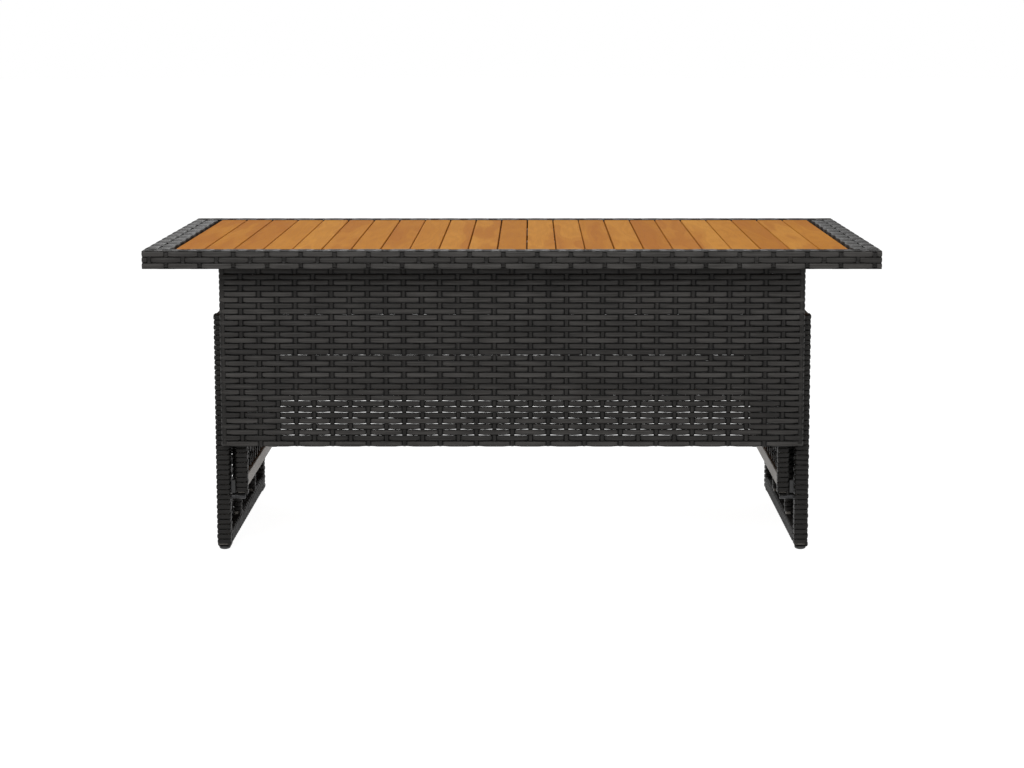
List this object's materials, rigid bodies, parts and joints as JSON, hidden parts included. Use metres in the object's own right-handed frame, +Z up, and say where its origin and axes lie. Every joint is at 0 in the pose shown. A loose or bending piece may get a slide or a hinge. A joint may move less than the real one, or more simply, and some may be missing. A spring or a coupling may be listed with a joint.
{
  "type": "height-adjustable wicker coffee table",
  "caption": "Rectangular garden coffee table with a slatted wood top in a woven border, woven skirts and two wicker-wound end frames that the top telescopes in.",
  "frame": {"origin": "on the floor under the centre of the table, at the middle of the bounding box's base, with the table at its lower setting", "axes": "+X along the table's length to its right end, +Y from the front skirt to the back skirt, +Z up"},
  "size_m": [1, 0.5, 0.425],
  "materials": {
    "wicker": "woven synthetic strip, charcoal",
    "acacia": "oiled, satin",
    "steel": "grey powder coat",
    "plastic": "matt black",
    "zinc": "black zinc plated"
  },
  "bodies": {
    "left_leg": {"bottom_rail_winding_left": "wicker", "end_frame_left": "steel", "end_panel_left": "wicker", "glide_back_left": "plastic", "glide_front_left": "plastic", "post_winding_back_left": "wicker", "post_winding_front_left": "wicker", "support_pin_back_left": "zinc", "support_pin_front_left": "zinc", "top_rail_winding_left": "wicker"},
    "table_top": {"border_back": "wicker", "border_front": "wicker", "border_left": "wicker", "border_right": "wicker", "guide_shoe_back_left": "plastic", "guide_shoe_back_right": "plastic", "guide_shoe_front_left": "plastic", "guide_shoe_front_right": "plastic", "inner_frame_left": "steel", "inner_frame_right": "steel", "side_panel_left": "wicker", "side_panel_right": "wicker", "skirt_back": "wicker", "skirt_bar_back": "steel", "skirt_bar_front": "steel", "skirt_front": "wicker", "slat_01": "acacia", "slat_02": "acacia", "slat_03": "acacia", "slat_04": "acacia", "slat_05": "acacia", "slat_06": "acacia", "slat_07": "acacia", "slat_08": "acacia", "slat_09": "acacia", "slat_10": "acacia", "slat_11": "acacia", "slat_12": "acacia", "slat_13": "acacia", "slat_14": "acacia", "slat_15": "acacia", "slat_16": "acacia", "slat_17": "acacia", "slat_18": "acacia", "slat_19": "acacia", "slat_20": "acacia", "slat_21": "acacia", "slat_22": "acacia", "slat_23": "acacia", "top_frame": "steel"},
    "right_leg": {"bottom_rail_winding_right": "wicker", "end_frame_right": "steel", "end_panel_right": "wicker", "glide_back_right": "plastic", "glide_front_right": "plastic", "post_winding_back_right": "wicker", "post_winding_front_right": "wicker", "support_pin_back_right": "zinc", "support_pin_front_right": "zinc", "top_rail_winding_right": "wicker"}
  },
  "joints": [
    {"name": "top_lift", "type": "slide", "parent": "left_leg", "child": "table_top", "axis": [0, 0, 1], "range_m": [0, 0.2]},
    {"name": "right_leg_slide", "type": "slide", "parent": "table_top", "child": "right_leg", "axis": [0, 0, -1], "range_m": [0, 0.2]}
  ],
  "couplings": [
    {"joint": "right_leg_slide", "follows": "top_lift", "ratio": 1}
  ]
}
